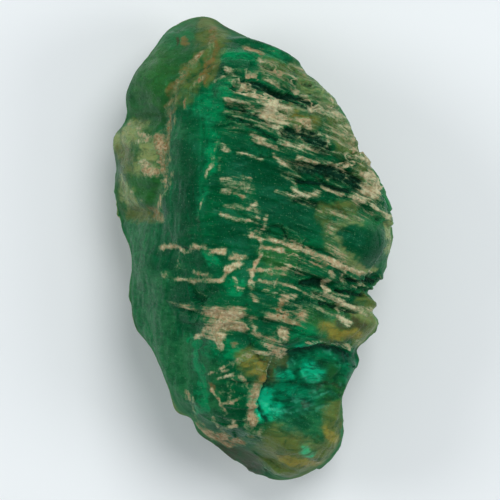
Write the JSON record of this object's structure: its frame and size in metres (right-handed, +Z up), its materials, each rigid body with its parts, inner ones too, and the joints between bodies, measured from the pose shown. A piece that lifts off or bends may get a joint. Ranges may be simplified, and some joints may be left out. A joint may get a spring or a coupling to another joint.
{
  "type": "raw emerald crystal",
  "caption": "Raw emerald crystal, a small broken six-sided beryl prism lying on its flat prism face, for a mineral display or a gem scene.",
  "frame": {"origin": "on the surface that the crystal lies on, under the middle of its length and width", "axes": "+Y along the crystal's length towards its blunt tip, +Z up from the resting face to the broad upper face, and +X across its width"},
  "size_m": [0.0056, 0.0094, 0.004],
  "materials": {
    "emerald": "cloudy green beryl with a waxy to glassy gloss, cream and rust mineral films in its partings, paler olive growth on the left and a clear teal green chip at the lower right"
  },
  "bodies": {
    "root": {"emerald_crystal": "emerald"}
  },
  "joints": []
}
